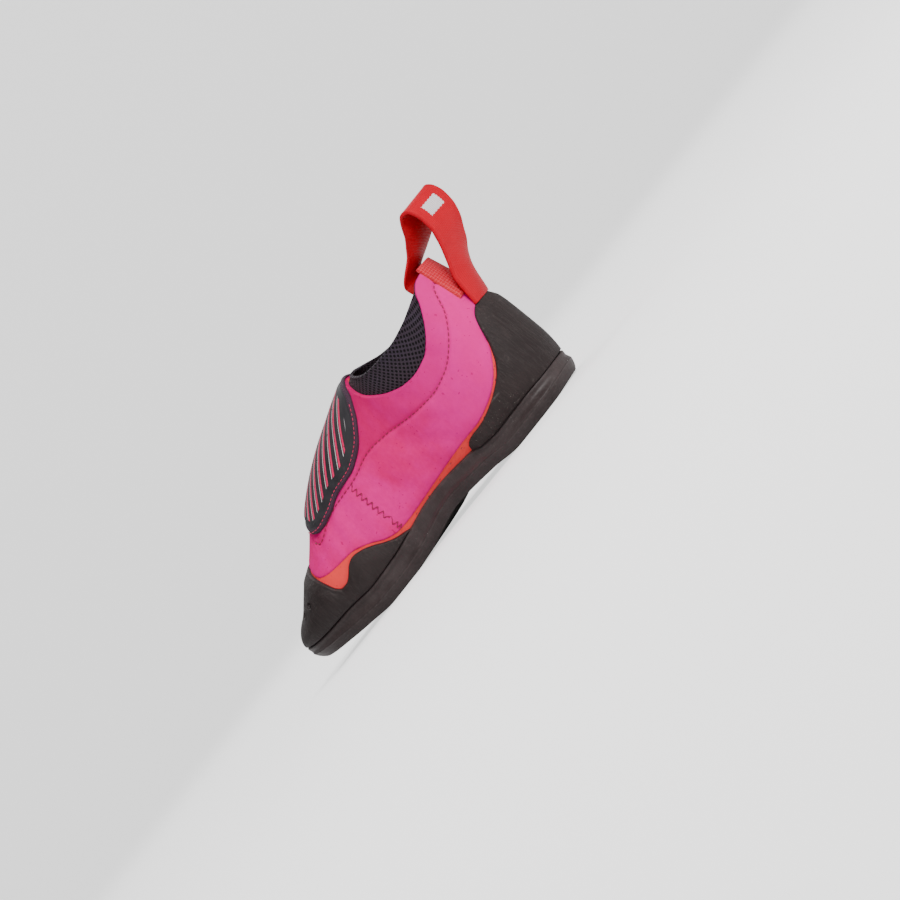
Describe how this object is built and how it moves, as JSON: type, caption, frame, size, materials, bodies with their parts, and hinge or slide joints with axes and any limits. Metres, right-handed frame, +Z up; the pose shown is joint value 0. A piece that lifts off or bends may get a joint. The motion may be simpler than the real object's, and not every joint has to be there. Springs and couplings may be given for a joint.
{
  "type": "climbing shoe",
  "caption": "Child's slip-on climbing shoe with a flat rubber sole, rubber rand, toe cap and heel cup, soft upper, stretch collar and webbing pull loop.",
  "frame": {"origin": "on the floor under the middle of the heel's flat spot", "axes": "+X to the toe, +Y to the medial side, +Z up"},
  "size_m": [0.1897, 0.0661, 0.0935],
  "materials": {
    "outsole": "matte",
    "rand": "satin",
    "toe_cap": "matte",
    "heel_cup": "matte",
    "upper": "matte microfibre",
    "instep_panel": "matte",
    "collar_cuff": "mesh",
    "heel_tape": "woven",
    "pull_loop": "satin woven",
    "insole": "matte"
  },
  "bodies": {
    "root": {"outsole": "outsole", "rand": "rand", "toe_cap": "toe_cap", "heel_cup": "heel_cup", "upper": "upper", "instep_panel": "instep_panel", "collar_cuff": "collar_cuff", "heel_tape": "heel_tape", "pull_loop": "pull_loop", "insole": "insole"}
  },
  "joints": []
}
